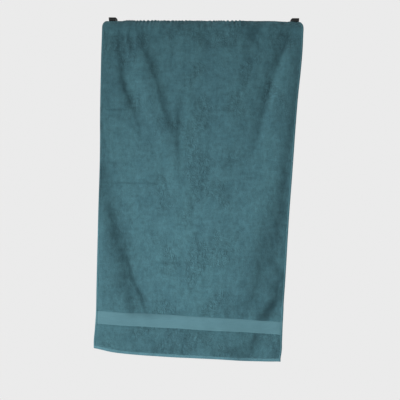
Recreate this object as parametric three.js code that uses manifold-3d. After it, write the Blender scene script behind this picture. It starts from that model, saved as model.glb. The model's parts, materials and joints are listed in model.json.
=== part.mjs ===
// A bath towel folded over a round rail and held on it by two spring clamps.
//
// Millimetres. X runs along the rail, Y goes away from the viewer and Z is up. The origin is on the
// rail's axis, at the middle of the towel's width. The rail itself belongs to the room and isn't built.
//
// Every piece of the towel is a thin box bent by one function, drape(across, along, out):
//   across  distance from the cloth's centre line, to the right
//   along   distance along the cloth from the top of the rail, positive down the front
//   out     distance from the middle of the cloth's thickness, away from the rail

import * as THREE from "three";
import { mergeVertices } from "three/addons/utils/BufferGeometryUtils.js";
import Module from "manifold-3d";

const wasm = await Module();
wasm.setup();

// ---- driving dimensions ------------------------------------------------------------------------

const RAIL_RADIUS = 25;
const TOWEL_WIDTH = 700;
const TOWEL_LENGTH = 1400;

const TERRY = 5;
const DOBBY = 3;
const HEM = 4;
const SIDE_HEM = 3.6;
const GAP = 0.3;

const END_HEM_DEPTH = 10;
const END_TERRY_DEPTH = 87;
const BAND_DEPTH = 44;
const SIDE_HEM_WIDTH = 6;
const STITCH_INSET = 7.5;
const STITCH_SIZE = 0.8;

// The cloth hangs a little askew: the front hem is lower on the right and bowed, the left edge
// stands out a little towards the hem, and the right edge and the short back end draw in.
const FRONT_DROP = 1133;
const HEM_TILT = 22.5;
const HEM_BOW = 9.5;
const LEFT_SPREAD = 26;
const RIGHT_DRAW = 74;
const BACK_DRAW = 16;
const HANGING_HALF_WIDTH = 347;
const CREST_TUCK = 12;

const CLAMP_OFFSET = 318;
const CLAMP_WIDTH = 24;
const ARM_THICKNESS = 8;
const PIVOT_Y = 60;
const PIN_RADIUS = 2.5;
const BORE_RADIUS = 2.8;
const EAR_RADIUS = 8;
const EAR_THICKNESS = 2.6;
const UPPER_EAR_X = 10.6;
const LOWER_EAR_X = 7.65;
const PAD_THICKNESS = 4.4;
const PAD_CLEARANCE = 1.2;
const UPPER_JAW_TIP_Y = -10;
const LOWER_JAW_TIP_Y = -3;

const SPRING_WIRE_RADIUS = 1;
const SPRING_COIL_RADIUS = 5.2;
const SPRING_TURNS = 3;
const SPRING_PITCH = 2.7;

// ---- values worked out from them ---------------------------------------------------------------

const HALF_WIDTH = TOWEL_WIDTH / 2;
const WRAP_RADIUS = RAIL_RADIUS + 1 + TERRY / 2;
const QUARTER = (WRAP_RADIUS * Math.PI) / 2;
const HINGE_GAP = 1.5;
const CLOTH_TOP = WRAP_RADIUS + TERRY / 2;
const PAD_FACE = CLOTH_TOP + PAD_CLEARANCE;
const ARM_MIDDLE = PAD_FACE + PAD_THICKNESS + GAP + ARM_THICKNESS / 2;

// ---- materials ---------------------------------------------------------------------------------

const material = (color, roughness, metalness = 0) =>
  new THREE.MeshStandardMaterial({ color, roughness, metalness });

const terry = material(0x446a73, 0.95);
const dobby = material(0x5e8993, 0.8);
const hemCloth = material(0x547e88, 0.85);
const thread = material(0x5c8791, 0.6);
const nylon = material(0x121314, 0.45);
const rubber = material(0x1b1b1c, 0.8);
const steel = material(0xa9abad, 0.35, 1);

// ---- the hanging cloth -------------------------------------------------------------------------

const clamp01 = (v) => Math.min(1, Math.max(0, v));
const lerp = (a, b, k) => a + (b - a) * k;

function smoothstep(from, to, v) {
  const k = clamp01((v - from) / (to - from));
  return k * k * (3 - 2 * k);
}

// Soft folds of the front: [x, drop] where each starts and ends, how far its line stands away from
// the viewer (a negative depth is a ridge), and its half width.
const FOLDS = [
  { start: [-293, 20], end: [-215, 480], depth: 9, width: 26 },
  { start: [-250, 20], end: [-130, 430], depth: -8, width: 24 },
  { start: [-215, 20], end: [-85, 430], depth: 8, width: 24 },
  { start: [285, 20], end: [170, 380], depth: 9, width: 26 },
  { start: [300, 60], end: [216, 430], depth: -8, width: 24 },
  { start: [300, 280], end: [240, 820], depth: 13, width: 34 },
  { start: [275, 850], end: [130, 1100], depth: 10, width: 30 },
  { start: [-345, 420], end: [-235, 1000], depth: 13, width: 30 },
  { start: [-255, 700], end: [-160, 1120], depth: -8, width: 40 },
];
const FOLD_FADE = 90;
const FOLD_TOP_FADE = 110;

function foldDepth(x, drop) {
  let total = 0;
  for (const { start, end, depth, width } of FOLDS) {
    const down = clamp01((drop - start[1]) / (end[1] - start[1]));
    const centre = lerp(start[0], end[0], down);
    const past = Math.max(start[1] - drop, drop - end[1], 0);
    const across = (x - centre) / width;
    const fade = 1 - smoothstep(0, FOLD_FADE, past);
    total += depth * fade * Math.exp(-across * across);
  }
  return total * smoothstep(0, FOLD_TOP_FADE, drop);
}

function frontPoint(side, along, out) {
  const angle = Math.min(along / WRAP_RADIUS, Math.PI / 2);
  const drop = Math.max(along - QUARTER, 0);
  const fall = drop / FRONT_DROP;
  const half = HANGING_HALF_WIDTH - CREST_TUCK * Math.cos(angle) ** 3;
  const left = -half - LEFT_SPREAD * fall;
  const right = half - RIGHT_DRAW * fall ** 0.75;
  const x = lerp(left, right, (side + 1) / 2);
  const radius = WRAP_RADIUS + out;
  const y = -radius * Math.sin(angle) + foldDepth(x, drop);
  const z = radius * Math.cos(angle) - drop;
  return [x, y, z];
}

// The back hangs straight down from the rail, except at the clamps, where it is pulled right round
// the rail's underside and hangs down in front of the lower jaw.
const JAW_BEND_RADIUS = 9;
const PULLED_FROM = 175;
const PULLED_TO = 280;

function freeBack(length) {
  const angle = Math.min(length / WRAP_RADIUS, Math.PI / 2);
  const drop = Math.max(length - QUARTER, 0);
  const normal = [Math.sin(angle), Math.cos(angle)];
  return { point: [WRAP_RADIUS * normal[0], WRAP_RADIUS * normal[1] - drop], normal };
}

function pulledBack(length) {
  const halfTurn = Math.PI * WRAP_RADIUS;
  if (length < halfTurn) {
    const angle = length / WRAP_RADIUS;
    const normal = [Math.sin(angle), Math.cos(angle)];
    return { point: [WRAP_RADIUS * normal[0], WRAP_RADIUS * normal[1]], normal };
  }
  const bend = Math.min((length - halfTurn) / JAW_BEND_RADIUS, Math.PI / 2);
  const drop = length - halfTurn - bend * JAW_BEND_RADIUS;
  const centreZ = -WRAP_RADIUS - JAW_BEND_RADIUS;
  const point = [-JAW_BEND_RADIUS * Math.sin(bend), centreZ + JAW_BEND_RADIUS * Math.cos(bend) - drop];
  return { point, normal: [Math.sin(bend), -Math.cos(bend)] };
}

function backPoint(side, length, out) {
  const tuck = CREST_TUCK * Math.cos(Math.min(length / WRAP_RADIUS, Math.PI / 2)) ** 3;
  const backDrop = TOWEL_LENGTH - 2 * QUARTER - FRONT_DROP;
  const draw = BACK_DRAW * (Math.max(length - QUARTER, 0) / backDrop);
  const x = side * (HANGING_HALF_WIDTH - tuck - draw);
  const pull = smoothstep(PULLED_FROM, PULLED_TO, Math.abs(x));
  const free = freeBack(length);
  const pulled = pulledBack(length);
  const normal = [lerp(free.normal[0], pulled.normal[0], pull), lerp(free.normal[1], pulled.normal[1], pull)];
  const size = Math.hypot(...normal) || 1;
  const y = lerp(free.point[0], pulled.point[0], pull) + (normal[0] / size) * out;
  const z = lerp(free.point[1], pulled.point[1], pull) + (normal[1] / size) * out;
  return [x, y, z];
}

function drape(across, along, out) {
  const side = across / HALF_WIDTH;
  return along >= 0 ? frontPoint(side, along, out) : backPoint(side, -along, out);
}

// Where the two ends of the cloth hang, as a distance along it from the top of the rail.
function frontEnd(across) {
  const side = across / HALF_WIDTH;
  return QUARTER + FRONT_DROP + HEM_TILT * side - HEM_BOW * side * side;
}

const backEnd = (across) => frontEnd(across) - TOWEL_LENGTH;

// A thin box bent onto the cloth. from and to give the along range at each distance across.
function clothPiece({ across, from, to, thickness, out = 0, steps }) {
  const box = new THREE.BoxGeometry(1, 1, 1, steps[0], 1, steps[1]);
  const positions = box.attributes.position;
  for (let i = 0; i < positions.count; i++) {
    const u = lerp(across[0], across[1], positions.getX(i) + 0.5);
    const t = lerp(from(u), to(u), positions.getZ(i) + 0.5);
    positions.setXYZ(i, ...drape(u, t, out + positions.getY(i) * thickness));
  }
  return box;
}

const group = new THREE.Group();

function addMesh(parent, name, geometry, look) {
  const mesh = new THREE.Mesh(geometry, look);
  mesh.name = name;
  parent.add(mesh);
}

const ACROSS_STEPS = 28;
const INNER = HALF_WIDTH - SIDE_HEM_WIDTH;
const INNER_WIDTH = [-INNER + GAP, INNER - GAP];

// The bands of weave at one end of the cloth, from the hem inwards. inward is -1 at the front end,
// where the cloth lies at smaller along values than the hem, and 1 at the back end.
function addEnd(prefix, end, inward, terrySteps, bandSteps) {
  const at = (depth) => (u) => end(u) + inward * depth;
  const bandStart = END_HEM_DEPTH + END_TERRY_DEPTH;
  const zones = [
    ["end_hem", 0, END_HEM_DEPTH, HEM, hemCloth, 1],
    ["end_terry", END_HEM_DEPTH, bandStart, TERRY, terry, terrySteps],
    ["dobby_band", bandStart, bandStart + BAND_DEPTH, DOBBY, dobby, bandSteps],
  ];
  const across = INNER_WIDTH;
  for (const [zone, near, far, thickness, look, along] of zones) {
    const edges = [at(near + GAP / 2), at(far - GAP / 2)];
    const [from, to] = inward > 0 ? edges : edges.reverse();
    const steps = [ACROSS_STEPS, along];
    addMesh(group, `${prefix}_${zone}`, clothPiece({ across, from, to, thickness, steps }), look);
  }
  const stitchEdges = [at(STITCH_INSET), at(STITCH_INSET + STITCH_SIZE)];
  const [from, to] = inward > 0 ? stitchEdges : stitchEdges.reverse();
  const out = HEM / 2 + GAP + STITCH_SIZE / 2;
  const steps = [ACROSS_STEPS, 1];
  const seam = clothPiece({ across, from, to, thickness: STITCH_SIZE, out, steps });
  addMesh(group, `${prefix}_hem_stitching`, seam, thread);
}

const PILE_START = END_HEM_DEPTH + END_TERRY_DEPTH + BAND_DEPTH + GAP / 2;
const frontPileEnd = (u) => frontEnd(u) - PILE_START;
const backPileEnd = (u) => backEnd(u) + PILE_START;
const hingeBelow = () => QUARTER + HINGE_GAP;
const hingeAbove = () => QUARTER - HINGE_GAP;
const crestBack = () => -QUARTER;

function addPile(name, from, to, stepsAlong) {
  const steps = [ACROSS_STEPS, stepsAlong];
  addMesh(group, name, clothPiece({ across: INNER_WIDTH, from, to, thickness: TERRY, steps }), terry);
}

function addSideHems(name, from, to, stepsAlong) {
  for (const [label, sign] of [["left", -1], ["right", 1]]) {
    const across = [sign * (INNER + GAP), sign * HALF_WIDTH].sort((a, b) => a - b);
    const steps = [1, stepsAlong];
    const hem = clothPiece({ across, from, to, thickness: SIDE_HEM, steps });
    addMesh(group, `${label}_${name}`, hem, hemCloth);
  }
}

addPile("front_terry", hingeBelow, frontPileEnd, 17);
addEnd("front", frontEnd, -1, 3, 1);
addPile("crest_terry", crestBack, hingeAbove, 8);
addPile("back_terry", backPileEnd, (u) => crestBack(u) - GAP, 9);
addEnd("back", backEnd, 1, 4, 6);
addSideHems("front_side_hem", hingeBelow, frontEnd, 24);
addSideHems("crest_side_hem", crestBack, hingeAbove, 10);
addSideHems("back_side_hem", backEnd, (u) => crestBack(u) - GAP, 18);

// ---- the spring clamps -------------------------------------------------------------------------

function toSolid(geometry) {
  geometry.deleteAttribute("normal");
  geometry.deleteAttribute("uv");
  const merged = mergeVertices(geometry, 1e-4);
  const vertProperties = new Float32Array(merged.attributes.position.array);
  const triVerts = new Uint32Array(merged.index.array);
  return new wasm.Manifold(new wasm.Mesh({ numProp: 3, vertProperties, triVerts }));
}

function toGeometry(solid) {
  const { vertProperties, triVerts } = solid.getMesh();
  const geometry = new THREE.BufferGeometry();
  geometry.setAttribute("position", new THREE.BufferAttribute(new Float32Array(vertProperties), 3));
  geometry.setIndex(new THREE.BufferAttribute(new Uint32Array(triVerts), 1));
  return geometry;
}

// An outline in the YZ plane extruded along X, centred on x. The shape's own x and y are Y and Z.
function extrudeAlongX(shape, width, x, bevel = 0) {
  const geometry = new THREE.ExtrudeGeometry(shape, {
    depth: width - 2 * bevel,
    bevelEnabled: bevel > 0,
    bevelThickness: bevel,
    bevelSize: bevel,
    bevelOffset: -bevel,
    bevelSegments: 2,
    curveSegments: 6,
  });
  geometry.translate(0, 0, bevel - width / 2);
  geometry.applyMatrix4(new THREE.Matrix4().set(0, 0, 1, x, 1, 0, 0, 0, 0, 1, 0, 0, 0, 0, 0, 1));
  return geometry;
}

function cylinderAlongX(radius, width, x, y) {
  const geometry = new THREE.CylinderGeometry(radius, radius, width, 24);
  geometry.rotateZ(Math.PI / 2);
  geometry.translate(x, y, 0);
  return geometry;
}

// The outline of a strip of even thickness along a line of points, with mitred corners.
function stripShape(points, thickness) {
  const outer = [];
  const inner = [];
  points.forEach((point, i) => {
    const before = points[Math.max(i - 1, 0)];
    const after = points[Math.min(i + 1, points.length - 1)];
    const into = point.clone().sub(before).normalize();
    const onward = after.clone().sub(point).normalize();
    const direction = into.clone().add(onward).normalize();
    const normal = new THREE.Vector2(-direction.y, direction.x);
    const bend = Math.max(direction.dot(into), direction.dot(onward));
    const reach = thickness / 2 / bend;
    outer.push(point.clone().addScaledVector(normal, reach));
    inner.unshift(point.clone().addScaledVector(normal, -reach));
  });
  return new THREE.Shape([...outer, ...inner]);
}

// One arm of a clamp, from its jaw past the pivot to its handle. up is 1 for the arm over the rail.
function armGeometry(up, tipY, earX) {
  const middle = ARM_MIDDLE;
  const line = [[tipY, middle], [34, middle], [42, middle - 4], [54, 23], [66, 16], [80, 19], [128, 36]];
  const points = line.map(([y, z]) => new THREE.Vector2(y, up * z));
  const strip = stripShape(up > 0 ? points : points.reverse(), ARM_THICKNESS);
  let arm = toSolid(extrudeAlongX(strip, CLAMP_WIDTH, 0, 1));
  for (const sign of [-1, 1]) {
    const ear = toSolid(cylinderAlongX(EAR_RADIUS, EAR_THICKNESS, sign * earX, PIVOT_Y));
    const web = new THREE.BoxGeometry(EAR_THICKNESS, 2 * EAR_RADIUS - 2, 18);
    web.translate(sign * earX, PIVOT_Y, up * 9);
    arm = arm.add(ear).add(toSolid(web));
  }
  return toGeometry(arm.subtract(toSolid(cylinderAlongX(BORE_RADIUS, 2 * CLAMP_WIDTH, 0, PIVOT_Y))));
}

function padGeometry(up, tipY) {
  const length = 22;
  const inset = 0.5;
  const near = Math.min(up * PAD_FACE, up * (PAD_FACE + PAD_THICKNESS));
  const outline = new THREE.Shape();
  outline.moveTo(tipY + inset, near);
  outline.lineTo(tipY + inset + length, near);
  outline.lineTo(tipY + inset + length, near + PAD_THICKNESS);
  outline.lineTo(tipY + inset, near + PAD_THICKNESS);
  return extrudeAlongX(outline, CLAMP_WIDTH - 2 * inset, 0, 0.8);
}

function pinGeometry() {
  const headRadius = 4.2;
  const headThickness = 1.4;
  const headX = CLAMP_WIDTH / 2 + GAP + headThickness / 2;
  let pin = toSolid(cylinderAlongX(PIN_RADIUS, 2 * headX, 0, PIVOT_Y));
  for (const sign of [-1, 1]) {
    pin = pin.add(toSolid(cylinderAlongX(headRadius, headThickness, sign * headX, PIVOT_Y)));
  }
  return toGeometry(pin);
}

// The coil turns about the pin, and a straight leg leaves each end towards its own handle.
function springGeometry() {
  const perTurn = 10;
  const count = SPRING_TURNS * perTurn + perTurn / 2;
  const points = [];
  const legs = [14, 28];
  const legRise = 0.36;
  for (const reach of [...legs].reverse()) {
    const x = (-SPRING_TURNS * SPRING_PITCH) / 2;
    points.push(new THREE.Vector3(x, PIVOT_Y + reach, SPRING_COIL_RADIUS + legRise * reach));
  }
  for (let i = 0; i <= count; i++) {
    const angle = (i / perTurn) * 2 * Math.PI;
    const x = (i / count - 0.5) * SPRING_TURNS * SPRING_PITCH;
    const y = PIVOT_Y - SPRING_COIL_RADIUS * Math.sin(angle);
    points.push(new THREE.Vector3(x, y, SPRING_COIL_RADIUS * Math.cos(angle)));
  }
  for (const reach of legs) {
    const x = (SPRING_TURNS * SPRING_PITCH) / 2;
    points.push(new THREE.Vector3(x, PIVOT_Y + reach, -SPRING_COIL_RADIUS - legRise * reach));
  }
  const section = new THREE.Shape();
  section.absarc(0, 0, SPRING_WIRE_RADIUS, 0, 2 * Math.PI);
  const extrudePath = new THREE.CatmullRomCurve3(points);
  const steps = count + 10;
  return new THREE.ExtrudeGeometry(section, { extrudePath, steps, bevelEnabled: false, curveSegments: 4 });
}

function addClamp(label, side) {
  const clamp = new THREE.Group();
  clamp.position.x = side * CLAMP_OFFSET;
  addMesh(clamp, `${label}_upper_arm`, armGeometry(1, UPPER_JAW_TIP_Y, UPPER_EAR_X), nylon);
  addMesh(clamp, `${label}_lower_arm`, armGeometry(-1, LOWER_JAW_TIP_Y, LOWER_EAR_X), nylon);
  addMesh(clamp, `${label}_upper_pad`, padGeometry(1, UPPER_JAW_TIP_Y), rubber);
  addMesh(clamp, `${label}_lower_pad`, padGeometry(-1, LOWER_JAW_TIP_Y), rubber);
  addMesh(clamp, `${label}_pivot_pin`, pinGeometry(), steel);
  addMesh(clamp, `${label}_torsion_spring`, springGeometry(), steel);
  group.add(clamp);
}

addClamp("left", -1);
addClamp("right", 1);

export default group;
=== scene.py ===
"""A terry bath towel folded over a rail and held there by two spring clamps.

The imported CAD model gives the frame. The towel's cloth is one surface, cloth_point(across, along), and
each woven zone, hem and row of stitches is a closed piece laid on it. across is the distance from the
cloth's centre line, to the right, and along is the distance along the cloth from the top of the rail,
positive down the front. Lengths are metres, written as millimetres times MM.
"""
import json
import math

import bmesh
import bpy
import numpy as np
from mathutils import Matrix, Vector


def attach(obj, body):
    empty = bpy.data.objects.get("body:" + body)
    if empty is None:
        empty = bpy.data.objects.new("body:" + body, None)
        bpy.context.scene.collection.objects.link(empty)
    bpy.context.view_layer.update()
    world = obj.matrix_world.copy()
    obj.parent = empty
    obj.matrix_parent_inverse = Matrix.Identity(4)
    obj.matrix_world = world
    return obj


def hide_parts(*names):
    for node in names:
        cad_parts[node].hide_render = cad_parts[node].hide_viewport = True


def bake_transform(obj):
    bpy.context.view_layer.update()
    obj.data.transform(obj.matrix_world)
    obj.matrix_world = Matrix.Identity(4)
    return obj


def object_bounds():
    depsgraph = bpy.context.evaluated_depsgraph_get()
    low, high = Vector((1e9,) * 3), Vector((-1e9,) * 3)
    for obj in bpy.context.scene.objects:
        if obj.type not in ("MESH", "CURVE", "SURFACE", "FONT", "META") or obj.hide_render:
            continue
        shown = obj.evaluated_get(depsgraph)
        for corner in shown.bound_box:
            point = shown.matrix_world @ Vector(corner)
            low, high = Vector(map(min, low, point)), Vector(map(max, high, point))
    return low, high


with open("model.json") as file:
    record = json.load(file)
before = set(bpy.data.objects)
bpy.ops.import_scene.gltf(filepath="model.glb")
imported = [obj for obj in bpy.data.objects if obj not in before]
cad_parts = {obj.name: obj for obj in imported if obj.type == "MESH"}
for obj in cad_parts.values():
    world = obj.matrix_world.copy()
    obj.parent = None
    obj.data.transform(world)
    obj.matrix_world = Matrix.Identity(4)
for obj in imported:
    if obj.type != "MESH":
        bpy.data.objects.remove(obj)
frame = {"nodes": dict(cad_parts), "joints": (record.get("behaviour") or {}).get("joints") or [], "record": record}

CAD_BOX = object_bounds()
MM = 0.001

# ---- sizes of the cloth ----

RAIL_RADIUS = next(m for m in frame["record"]["mounts"] if m["name"] == "rail")["dims"]["r_mm"] * MM
TOWEL_WIDTH = 700 * MM
TOWEL_LENGTH = 1400 * MM
HALF_WIDTH = TOWEL_WIDTH / 2
WRAP_RADIUS = RAIL_RADIUS + 3.5 * MM
QUARTER = WRAP_RADIUS * math.pi / 2

PILE = 3.2 * MM
GROUND = 1.5 * MM
MEETING_HEIGHT = 1.2 * MM
MEETING_SLOPE = 9 * MM
SIDE_RADIUS = 1.4 * MM
THINNEST = 0.15 * MM
HEM = 2.0 * MM
SIDE_HEM = 2.5 * MM
END_HEM_DEPTH = 10 * MM
END_TERRY_DEPTH = 86 * MM
BAND_DEPTH = 43 * MM
BAND_START = END_HEM_DEPTH + END_TERRY_DEPTH
BAND_END = BAND_START + BAND_DEPTH
SIDE_HEM_WIDTH = 7 * MM
INNER = HALF_WIDTH - SIDE_HEM_WIDTH

FRONT_DROP = 1131 * MM
BACK_DRAW = 16 * MM
CREST_TUCK = 12 * MM
CREST_LEFT, CREST_RIGHT = 351 * MM, 343 * MM

# The two side edges of the hanging front, as (drop below the rail's axis, x) in millimetres.
LEFT_EDGE = [(0, -350.5), (100, -352.5), (260, -355), (470, -356.5), (620, -360), (780, -363), (883, -365),
             (987, -367), (1035, -370), (1070, -373), (1100, -373), (1130, -370.5)]
RIGHT_EDGE = [(0, 343), (52, 341), (104, 337), (156, 332.5), (208, 327), (312, 319), (416, 312.5),
              (519, 306), (623, 299), (727, 293.5), (831, 288), (935, 281), (1003, 275.5), (1073, 273),
              (1105, 272), (1130, 268)]

# The clamps pull the back of the cloth round under the rail, to hang in front of their lower jaws.
JAW_BEND = 9 * MM
PULLED_FROM = 175 * MM
PULLED_TO = 285 * MM
SEAM_ALONG = -0.62 * QUARTER

# Folds of the front, in millimetres: kind, width, return, line. Along its line of points (x, drop below
# the rail's axis, depth) the cloth steps back by the depth, towards the right, over the width. Past the
# line it comes forward again over the length of the return. A ridge starts sharply at its line, a valley
# ends sharply at its line, and a soft fold is even on both sides. A negative depth steps forward.
FOLDS = [
    ("ridge", 22, 52, [(-302, -20, 5), (-298, 48, 9), (-292, 104, 14), (-289, 164, 15), (-276, 208, 15),
        (-262, 244, 13), (-242, 285, 9), (-232, 330, 5), (-222, 400, 1)]),
    ("soft", 26, 64, [(-264, 30, -3), (-250, 77, -7), (-226, 170, -9), (-190, 286, -9), (-152, 379, -7),
        (-128, 437, -4), (-110, 500, -1)]),
    ("ridge", 34, 80, [(-242, -25, 9), (-228, 18, 11), (-206, 84, 14), (-177, 153, 15), (-159, 208, 14),
        (-147, 256, 12), (-130, 312, 8), (-104, 380, 5), (-96, 440, 2)]),
    ("ridge", 12, 24, [(-112, -25, 4), (-112, 18, 5), (-114, 104, 4), (-126, 180, 1)]),
    ("ridge", 14, 30, [(-262, -20, 4), (-258, 30, 5), (-250, 70, 1)]),
    ("soft", 20, 40, [(-12, -10, 5), (-6, 20, 5), (0, 80, 1)]),
    ("soft", 40, 70, [(140, -20, 8), (150, 30, 9), (160, 110, 3)]),
    ("ridge", 16, 26, [(-84, 250, 2), (-90, 312, 8), (-93, 380, 8), (-92, 420, 7), (-84, 500, 1)]),
    ("ridge", 12, 22, [(-8, 270, 2), (10, 312, 3), (12, 400, 3), (12, 470, 1)]),
    ("valley", 52, 30, [(300, -20, 10), (288, 18, 15), (264, 104, 17), (230, 208, 17), (202, 312, 13),
        (180, 400, 8), (165, 470, 2)]),
    ("soft", 20, 44, [(280, -20, -5), (284, 40, -11), (278, 104, -16), (248, 208, -14), (222, 312, -9),
        (206, 400, -1)]),
    ("soft", 38, 90, [(326, 40, 5), (322, 104, 9), (316, 208, 14), (306, 312, 16), (292, 416, 17),
        (280, 519, 21), (272, 623, 18), (267, 727, 16), (265, 813, 15), (263, 883, 18), (248, 935, 22),
        (212, 990, 20), (180, 1073, 11), (150, 1125, 8)]),
    ("soft", 13, 60, [(292, 935, -2), (281, 960, -9), (265, 982, -13), (250, 1003, -9)]),
    ("soft", 48, 260, [(244, 560, 4), (232, 623, 8), (212, 727, 15), (196, 813, 18), (184, 883, 15),
        (164, 935, 12), (140, 990, 5)]),
    ("soft", 46, 230, [(-358, 380, 8), (-352, 450, 14), (-344, 519, 18), (-324, 623, 22),
        (-294, 727, 26), (-276, 813, 19), (-268, 883, 15), (-252, 935, 13), (-238, 985, 8),
        (-226, 1030, 2)]),
    ("ridge", 18, 60, [(-274, 760, 3), (-260, 813, 8), (-238, 883, 11), (-214, 935, 10),
        (-196, 990, 4)]),
    ("ridge", 12, 30, [(-168, 1030, 1), (-169, 1073, 3), (-172, 1125, 2)]),
    ("ridge", 14, 24, [(-4, 740, 1), (0, 813, 3), (4, 883, 3), (8, 935, 3), (14, 1000, 1)]),
    ("soft", 40, 120, [(90, 420, 1), (84, 519, 4), (80, 640, 2)]),
    ("ridge", 16, 50, [(-86, 760, 1), (-80, 813, 4), (-76, 880, 1)]),
    ("soft", 64, 200, [(256, 600, 4), (246, 727, 13), (236, 830, 13), (224, 900, 6)]),
    ("soft", 150, 500, [(-270, 60, 6), (-262, 416, 8), (-250, 727, 9), (-250, 980, 7)]),
]
FOLD_END_FADE = 60 * MM
FOLD_WANDER = 2.2 * MM
FOLD_ROUNDING = 6 * MM
# The fold depth at which the painted shade along a fold is full.
PAINTED_SHADE_FULL_DEPTH = 26 * MM
# Painted shade over the pile below the border band, which is coloured darker there.
END_SHADE = 0.11

# Marks of painted shade, where the pile is coloured darker to stand in for the shade of folds, in millimetres:
# a half width, then a line of points (x, drop below the rail's axis, strength from 0 to 1).
PAINTED_SHADE_MARKS = [
    (22, [(268, 868, 0.3), (263, 910, 0.75), (243, 950, 0.85), (217, 978, 0.85), (197, 1000, 0.8),
        (187, 1012, 0.3)]),
    (9, [(180, 1046, 0.3), (176, 1062, 0.6), (168, 1078, 0.4)]),
    (22, [(146, 1072, 0.2), (128, 1086, 0.5), (112, 1100, 0.5)]),
    (15, [(284, -4, 0.3), (280, 16, 0.65), (269, 60, 0.6), (254, 95, 0.5), (238, 140, 0.2)]),
    (13, [(-84, 268, 0.2), (-88, 292, 0.6), (-86, 306, 0.3)]),
    (34, [(162, -14, 0.7), (168, 6, 0.95), (176, 26, 0.8), (186, 48, 0.25)]),
    (9, [(262, 36, 0.3), (254, 56, 0.5), (248, 76, 0.3)]),
    (12, [(-348, 150, 0.2), (-350, 208, 0.45), (-352, 312, 0.6), (-354, 416, 0.7), (-356, 519, 0.5),
        (-358, 600, 0.2)]),
    (6, [(-262, 14, 0.4), (-258, 40, 0.7), (-252, 62, 0.5)]),
    (34, [(-56, -20, 0.3), (-44, 18, 0.3), (-30, 40, 0.1)]),
    (30, [(-196, -10, 0.15), (-186, 30, 0.2), (-168, 90, 0.1)]),
]
BAND_TOP = FRONT_DROP - BAND_END + 2 * MM
BAND_CALM = 0.85
FLAP_CLEARANCE = 8.5 * MM
FLAP_X, FLAP_DROP = (140 * MM, 220 * MM), (150 * MM, 230 * MM)
FREE_DEPTH = 26 * MM
FORWARD, FORWARD_DROP = 9 * MM, 110 * MM
CREST_LIFT = 2.2 * MM
PRESSED = 262 * MM, 300 * MM
CREST_BUMP_PITCH = 11.5 * MM
CREST_BUMP_HEIGHT = 2.1 * MM

# Faint creases across the cloth, from the towel having been kept folded, in millimetres: along, from x,
# to x. Each fades in and out over CREASE_FADE.
PRESS_CREASES = [(324, -348, -250), (324, -5, 120), (507, -345, -245), (576, -335, -135), (556, 125, 205),
                 (674, 235, 300), (851, -182, -15)]
CREASE_FADE = 40  # millimetres
# How dark the press creases are painted: painted shade in the creases.
CREASE_SHADE = 0.6
CREASE_WIDTH = 4 * MM
CREASE_DEPTH = 0.9 * MM


# ---- small tools for smooth shapes ----

def smoothstep(start, end, value):
    k = np.clip((value - start) / (end - start), 0, 1)
    return k * k * (3 - 2 * k)


def plateau(rise_start, rise_end, fall_start, fall_end, value):
    """1 from rise_end to fall_start, and 0 before rise_start and after fall_end."""
    return smoothstep(rise_start, rise_end, value) * (1 - smoothstep(fall_start, fall_end, value))


def smooth_line(points, value):
    """A smooth curve through (knot, value) points in millimetres, held level past its ends. In metres."""
    knots, heights = np.array(points, float).T * MM
    slopes = np.gradient(heights, knots)
    i = np.clip(np.searchsorted(knots, value) - 1, 0, len(knots) - 2)
    step = knots[i + 1] - knots[i]
    k = np.clip((value - knots[i]) / step, 0, 1)
    ease = k * k * (3 - 2 * k)
    lean = k * (1 - k) ** 2 * slopes[i] - k * k * (1 - k) * slopes[i + 1]
    return heights[i] + (heights[i + 1] - heights[i]) * ease + step * lean


def soft_noise(across, along, size_across, size_along, seed):
    """Smooth seeded bumps, about -1 to 1, with sizes in millimetres: a B-spline over random values."""
    lattice = np.random.default_rng(seed).uniform(-1, 1, (97, 97))
    a = across / (size_across * MM) + 300.0
    b = along / (size_along * MM) + 300.0
    ia, ib = np.floor(a).astype(int), np.floor(b).astype(int)

    def weights(f):
        middle = (3 * f**3 - 6 * f**2 + 4) / 6, (-3 * f**3 + 3 * f**2 + 3 * f + 1) / 6
        return [(1 - f) ** 3 / 6, *middle, f**3 / 6]

    total = np.zeros(np.broadcast(a, b).shape)
    for i, wa in enumerate(weights(a - ia)):
        for j, wb in enumerate(weights(b - ib)):
            total = total + wa * wb * lattice[(ia + i) % 97, (ib + j) % 97]
    return 2.0 * total


# ---- the surface of the cloth ----

def line_strength(points, drop):
    """The third value of a fold's or mark's points at a drop, fading out past both of its ends."""
    start, end = points[0][1] * MM, points[-1][1] * MM
    value = smooth_line([(d, v) for _, d, v in points], drop)
    return value * (1 - smoothstep(0, FOLD_END_FADE, np.maximum(np.maximum(start - drop, drop - end), 0)))


def fold_line(points, drop, number):
    """Where a fold's or mark's line runs at a drop. It wanders a little, each line in its own way."""
    line = smooth_line([(d, px) for px, d, _ in points], drop)
    slow, quick = np.sin(drop / (17 * MM) + 7 * number), np.sin(drop / (7.3 * MM) + 3 * number)
    return line + FOLD_WANDER * (0.6 * slow + 0.4 * quick)


def soft_positive(value):
    """The value where it is positive and 0 where it is negative, with the corner rounded off."""
    return 0.5 * (value + np.sqrt(value * value + FOLD_ROUNDING * FOLD_ROUNDING))


def fold_depth(x, drop):
    """How far the folds set the cloth back, away from the viewer."""
    total = np.zeros_like(x)
    for number, (kind, width, back, points) in enumerate(FOLDS):
        past = x - fold_line(points, drop, number)
        ahead, behind = soft_positive(past), soft_positive(-past)
        shapes = {"ridge": lambda: 1 - np.exp(-ahead / (0.55 * width * MM)),
                  "soft": lambda: 0.5 + 0.5 * np.tanh(1.6 * past / (width * MM)),
                  "valley": lambda: np.exp(-behind / (0.55 * width * MM))}
        total += line_strength(points, drop) * shapes[kind]() * np.exp(-ahead / (back * MM))
    by_band = plateau(BAND_TOP - 24 * MM, BAND_TOP + 6 * MM, BAND_TOP + 48 * MM, BAND_TOP + 85 * MM, drop)
    return total * (1 - BAND_CALM * by_band)


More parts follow.
